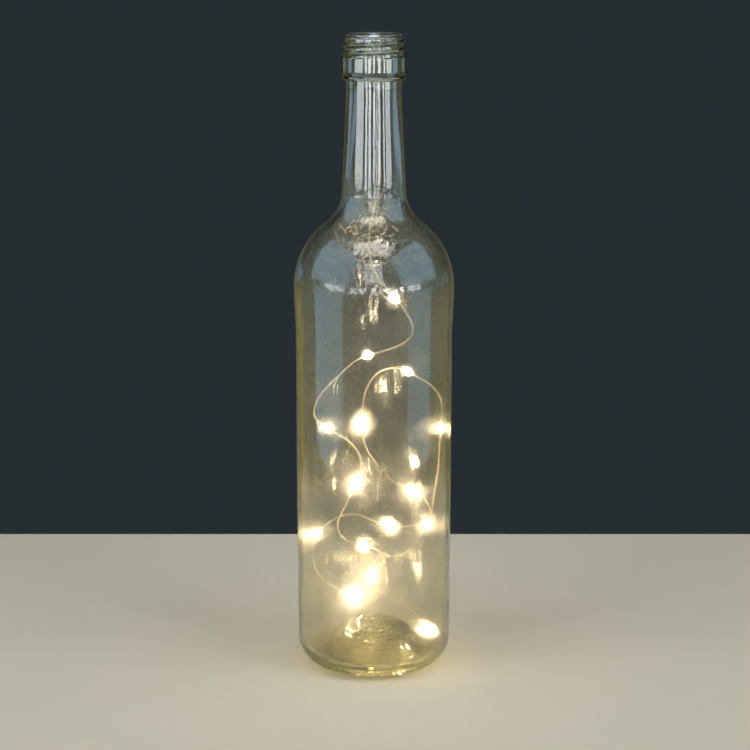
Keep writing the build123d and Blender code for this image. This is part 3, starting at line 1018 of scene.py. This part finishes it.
def make_bottle(glass):
    """The bottle turned from its section, with its thread, stippled heel, seams and wavering inside."""
    bottle = turned_piece("glass_bottle", bottle_outline(), GLASS_STEPS)
    inside = bottle.data.attributes.new("inside", "FLOAT", "POINT")
    band_top = GLASS_HEIGHT - THREAD_ZONE
    seams = [round(angle * GLASS_STEPS / 360) % GLASS_STEPS for angle in SEAM_ANGLES]
    moves = []
    for vertex, within in zip(bottle.data.vertices, inside.data):
        away = Vector((vertex.co.x, vertex.co.y, 0))
        radius = away.length / MM
        height = vertex.co.z / MM
        turn = math.atan2(vertex.co.y, vertex.co.x)
        column = round(turn / math.tau * GLASS_STEPS) % GLASS_STEPS
        outer = vertex.normal.dot(away) > 0
        behind = 0.5 + vertex.co.y / away.length / 2 if radius else 0.5
        within.value = 0.0 if outer else INSIDE_FRONT + (1 - INSIDE_FRONT) * behind**2
        push, lift = 0.0, 0.0
        if abs(radius - THREAD_ROOT) < THREAD_NEAR and height > band_top:
            push = thread_lift(math.degrees(turn), height)
        elif outer and 0 < height < STIPPLE_HIGH:
            push, lift = heel_stipple(column, height)
        elif outer and column in seams and HEEL_RADIUS < height < SEAM_TOP:
            push = SEAM_HEIGHT
        elif not outer and FLUTES_LOW < height < FLUTES_HIGH:
            push = neck_flutes(turn, height)
        moves.append((1 + push / radius if push else 1, lift * MM))
    for vertex, (scale, lift) in zip(bottle.data.vertices, moves):
        vertex.co.x *= scale
        vertex.co.y *= scale
        vertex.co.z += lift
    pick(bottle)
    smooth_picked(GLASS_SMOOTH_ANGLE)
    return finished(bottle, glass, "bottle", "glass", "bottle")


# Stopper


def make_shell(plastic):
    """The cup that hangs in the mouth, its flange marked where the lid locks and where it lifts out."""
    shell = eased_copy("stopper_cup", "stopper_shell", width=0.12)
    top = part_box("stopper_shell")[1].z / MM
    for angle in LOCK_ANGLES:
        turn = math.radians(angle)
        place = (FLANGE_MIDDLE * math.cos(turn), FLANGE_MIDDLE * math.sin(turn), top)
        press_hollow(shell, place, MARK_HOLLOW)
    finished(shell, plastic, "stopper", "clear_plastic", "stopper_shell")


def make_lid(plastic):
    """The bayonet lid, with a hollow for a finger on each side of the button and a mark at one lug."""
    lid = eased_copy("stopper_lid", "lid", width=0.15)
    radius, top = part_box("lid")[1].y / MM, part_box("lid")[1].z / MM
    for side in (-1, 1):
        press_hollow(lid, (0, side * radius * FINGER_SHARE, top + FINGER_RAISE), FINGER_HOLLOW)
    press_hollow(lid, (radius * MARK_SHARE, 0, top), MARK_HOLLOW)
    finished(lid, plastic, "lid", "clear_plastic", "lid")


def make_button(plastic):
    """The push button, its top dished for a fingertip."""
    button = eased_copy("button_cap", "push_button", width=0.1)
    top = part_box("push_button")[1].z / MM
    press_hollow(button, (0, 0, top + BUTTON_HOLLOW - BUTTON_DISH), [BUTTON_HOLLOW] * 3)
    finished(button, plastic, "button", "button_plastic", "push_button")


def make_switch(plastic, steel):
    """A low push switch: a moulded case, a round plunger and a pressed cover held by four rivets."""
    low, high = [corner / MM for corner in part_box("switch")]
    side = high.x - low.x
    case = moulded_block((0, 0, low.z + SWITCH_CASE / 2), (side, side, SWITCH_CASE), ease=0.1)
    rise = high.z - low.z - SWITCH_CASE
    plunger = moulded_pin((0, 0, low.z + SWITCH_CASE), side * PLUNGER_SHARE, rise, ease=0.08)
    finished(joined("switch_case", [case, plunger]), plastic, "lid", "switch_plastic", "switch")
    cover_size = (side - COVER_INSET, side - COVER_INSET, COVER_THICKNESS)
    cover = [moulded_block((0, 0, low.z + COVER_LEVEL), cover_size, ease=0.04)]
    for across in (-1, 1):
        for along in (-1, 1):
            place = (across * side * RIVET_SHARE, along * side * RIVET_SHARE, low.z + RIVET_LEVEL)
            cover.append(moulded_pin(place, RIVET_RADIUS, RIVET_HEIGHT, ease=0.06))
    finished(joined("switch_cover", cover), steel, "lid", "cell_steel")


def make_board(lacquer, plastic, steel):
    """The round circuit board, with its few driver parts and their solder joints."""
    board = eased_copy("driver_board", "circuit_board", width=0.08)
    finished(board, lacquer, "lid", "board", "circuit_board")
    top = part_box("circuit_board")[1].z / MM
    bodies = []
    joints = []
    for across, along, size in DRIVER_PARTS:
        bodies.append(moulded_block((across, along, top + size[2] / 2), size, ease=0.08))
        for side in (-1, 1):
            place = (across + side * size[0] * SOLDER_SHARE, along, top)
            joints.append(moulded_pin(place, SOLDER_RADIUS, SOLDER_HEIGHT, ease=0.1))
    finished(joined("driver_parts", bodies), plastic, "lid", "switch_plastic")
    finished(joined("solder_joints", joints), steel, "lid", "cell_steel")


def make_cells(steel):
    """Three button cells, each a crimped can around a stepped cap, modelled once and stacked."""
    low, high = [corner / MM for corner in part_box("button_cell_1")]
    radius = high.x
    cap = (CELL_CAP_RADIUS - CELL_CAP_ROUND, low.z + CELL_CAP_ROUND)
    crimp = (radius - CELL_CRIMP_ROUND, low.z + CELL_CRIMP_LEVEL)
    can = (radius - CELL_CAN_ROUND, high.z - CELL_CAN_ROUND)
    outline = [
        (0, low.z),
        *arc(cap, CELL_CAP_ROUND, -90, 0, 4),
        (CELL_CAP_RADIUS, low.z + CELL_STEP),
        (radius - CELL_CRIMP, low.z + CELL_STEP),
        *arc(crimp, CELL_CRIMP_ROUND, -130, 0, 6),
        *arc(can, CELL_CAN_ROUND, 0, 90, 6),
        (radius - CELL_RIM, high.z),
        (radius - CELL_DISH_EDGE, high.z - CELL_DISH),
        (0, high.z - CELL_DISH),
    ]
    first = turned_piece("cell_1", outline, steps=64)
    for number in (1, 2, 3):
        cell = first
        if number > 1:
            cell = placed(f"cell_{number}", first.data.copy())
            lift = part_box(f"button_cell_{number}")[0].z - low.z * MM
            cell.data.transform(Matrix.Translation((0, 0, lift)))
        finished(cell, steel, "stopper", "cell_steel", f"button_cell_{number}")


def make_seals(silicone):
    """Two soft rings, each with a groove round it, so that it grips the bore with two lips."""
    for number in (1, 2):
        low, high = [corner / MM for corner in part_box(f"seal_ring_{number}")]
        section = (high.z - low.z) / 2
        outline = []
        for step in range(SEAL_STEPS):
            turn = math.tau * step / SEAL_STEPS
            across = math.cos(turn)
            reach = section - SEAL_GROOVE * max(0.0, across) ** SEAL_LIPS
            outline.append((high.x - section + reach * across, low.z + section + reach * math.sin(turn)))
        seal = turned_piece(f"seal_{number}", outline, steps=96, closed=True)
        finished(seal, silicone, "stopper", "silicone", f"seal_ring_{number}")


def make_gland(plastic):
    """The ribbed outlet that grips the wire in the stopper's floor."""
    low, high = [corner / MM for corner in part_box("wire_gland")]
    waist_low = low.z + GLAND_WAIST_LOW
    waist_high = high.z - GLAND_WAIST_HIGH
    flare = high.x
    outline = [
        (GLAND_BORE, low.z),
        *arc((GLAND_RADIUS - GLAND_FOOT, low.z + GLAND_ROUND), GLAND_ROUND, -90, 0, 4),
        *[(GLAND_RADIUS + out, low.z + up) for out, up in GLAND_RIBS],
        (flare - GLAND_LIP, waist_low - GLAND_LIP),
        (flare, waist_low),
        (GLAND_RADIUS, waist_low),
        (GLAND_RADIUS, waist_high),
        (flare, waist_high),
        (flare, high.z - GLAND_EASE),
        (flare - GLAND_EASE, high.z),
        (GLAND_BORE, high.z),
    ]
    gland = turned_piece("outlet_gland", outline, steps=48, closed=True)
    finished(gland, plastic, "stopper", "silicone", "wire_gland")


def make_stopper(finishes):
    """All that hangs in the bottle's mouth."""
    make_shell(finishes["clear_plastic"])
    make_lid(finishes["clear_plastic"])
    make_button(finishes["button_plastic"])
    make_switch(finishes["switch_plastic"], finishes["cell_steel"])
    make_board(finishes["board"], finishes["switch_plastic"], finishes["cell_steel"])
    make_cells(finishes["cell_steel"])
    make_seals(finishes["silicone"])
    make_gland(finishes["switch_plastic"])
    sleeve = eased_copy("cell_tube", "cell_sleeve", width=0.15)
    finished(sleeve, finishes["milky_plastic"], "stopper", "clear_plastic", "cell_sleeve")
    contacts = {"positive_contact": "lid", "negative_contact": "stopper", "contact_strip": "stopper"}
    for node, body in contacts.items():
        contact = eased_copy(f"sprung_{node}", node, width=0.05)
        finished(contact, finishes["contact"], body, "contact", node)


# Studio


def make_floor():
    """A plain pale table top."""
    floor = plain_shape(bpy.ops.mesh.primitive_cube_add, TABLE_SIZE, size=1, location=TABLE_PLACE)
    floor.name = "table_top"
    bevel = floor.modifiers.new("edge", "BEVEL")
    bevel.width = TABLE_EDGE
    bevel.segments = 3
    bpy.ops.object.modifier_apply(modifier="edge")
    material, tree, shader = new_finish("pale_floor", TABLE_COLOUR, 0.8, Specular_IOR_Level=0.1)
    worn_roughness(tree, shader, fineness=0.2, amount=0.5, smooth=0.75, rough=0.9)
    floor.data.materials.append(material)


def add_softbox(name, place, aim, size, power, colour, card=True):
    """A soft rectangle that faces a point: a card shows in the glass alone, and any other lights alone."""
    lamp = bpy.data.lights.new(name, "AREA")
    lamp.shape = "RECTANGLE"
    lamp.size, lamp.size_y = size
    lamp.energy = power
    lamp.color = colour
    softbox = placed(name, lamp)
    softbox.location = place
    softbox.visible_camera = False
    softbox.visible_transmission = False
    softbox.visible_diffuse = not card
    softbox.visible_glossy = card
    softbox.rotation_euler = (Vector(aim) - Vector(place)).to_track_quat("-Z", "Y").to_euler()


def add_softboxes():
    """Cards beside, in front of and above the bottle, and the lamps that light it."""
    for card in SIDE_CARDS:
        add_softbox(*card)
    for number, (turn, width) in enumerate(STRIPS, start=1):
        across = STRIP_DISTANCE * math.sin(math.radians(turn))
        ahead = STRIP_DISTANCE * math.cos(math.radians(turn))
        place = (across, -ahead, CARD_LEVEL)
        add_softbox(f"strip_card_{number}", place, LEVEL, (width, CARD_HEIGHT), STRIP_POWER * width, PALE)
    for card in HIGH_CARDS:
        add_softbox(*card)
    for lamp in LAMPS:
        add_softbox(*lamp, card=False)


def background_colour(tree, path):
    """A dark slate to the camera, and through the glass paler depths between two blue-grey walls."""
    toward = place_node(tree, "ShaderNodeSeparateXYZ")
    tree.links.new(place_node(tree, "ShaderNodeTexCoord").outputs["Generated"], toward.inputs[0])
    through = path["Is Transmission Ray"]
    rise = ranged(tree, toward.outputs["Z"], *LOOK_RANGE)
    behind = mixed_colour(tree, through, SLATE, shade_ramp(tree, rise, DEPTHS))
    edges = mixed_colour(tree, path["Is Reflection Ray"], behind, shade_ramp(tree, rise, RIMS))
    aside = combine(tree, "ABSOLUTE", combine(tree, "SUBTRACT", toward.outputs["X"], WALLS_MIDDLE))
    walls = combine(tree, "MULTIPLY", band(tree, aside, *WALLS_BAND), through)
    return mixed_colour(tree, walls, edges, shade_ramp(tree, rise, STOREYS))


def light_studio():
    """A background that is seen, an even light that isn't, and softboxes."""
    world = bpy.data.worlds.new("studio")
    bpy.context.scene.world = world
    world.use_nodes = True
    tree = world.node_tree
    tree.nodes.clear()
    path = place_node(tree, "ShaderNodeLightPath").outputs
    bent = combine(tree, "MAXIMUM", path["Is Transmission Ray"], path["Is Glossy Ray"])
    shown = combine(tree, "MAXIMUM", bent, path["Is Camera Ray"])
    even = place_node(tree, "ShaderNodeBackground", {"Color": (*EVEN_LIGHT, 1), "Strength": EVEN_STRENGTH})
    slate = place_node(tree, "ShaderNodeBackground")
    tree.links.new(background_colour(tree, path), slate.inputs["Color"])
    mix_shaders(tree, shown, even, slate, place_node(tree, "ShaderNodeOutputWorld"))
    add_softboxes()


add_camera()
wire_points = read_wire_line()
wire = make_wire(wire_points, enamelled_wire())
lights = make_lights(
    lit_resin("lit_resin", LIGHT_STRENGTH), lit_resin("facing_resin", FACING_STRENGTH)
)
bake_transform(wire)
make_bottle(bottle_glass())

finishes = {
    "clear_plastic": clear_plastic(),
    "milky_plastic": milky_plastic(),
    "button_plastic": grained_plastic("button_plastic", (0.78, 0.8, 0.8), 0.35),
    "switch_plastic": grained_plastic("switch_plastic", (0.03, 0.03, 0.033), 0.45),
    "board": grained_plastic("board_lacquer", (0.62, 0.64, 0.63), 0.3),
    "contact": bare_metal("sprung_brass", (0.8, 0.66, 0.38), 0.25),
    "cell_steel": bare_metal("cell_steel", (0.74, 0.75, 0.76), 0.18),
    "silicone": grained_plastic("silicone", (0.75, 0.78, 0.78), 0.5),
}
make_stopper(finishes)

make_floor()
light_studio()
bpy.context.scene.view_settings.view_transform = "Standard"
bpy.context.scene.cycles.max_bounces = 24
bpy.context.scene.cycles.transmission_bounces = 24
bpy.context.scene.cycles.sample_clamp_indirect = 0
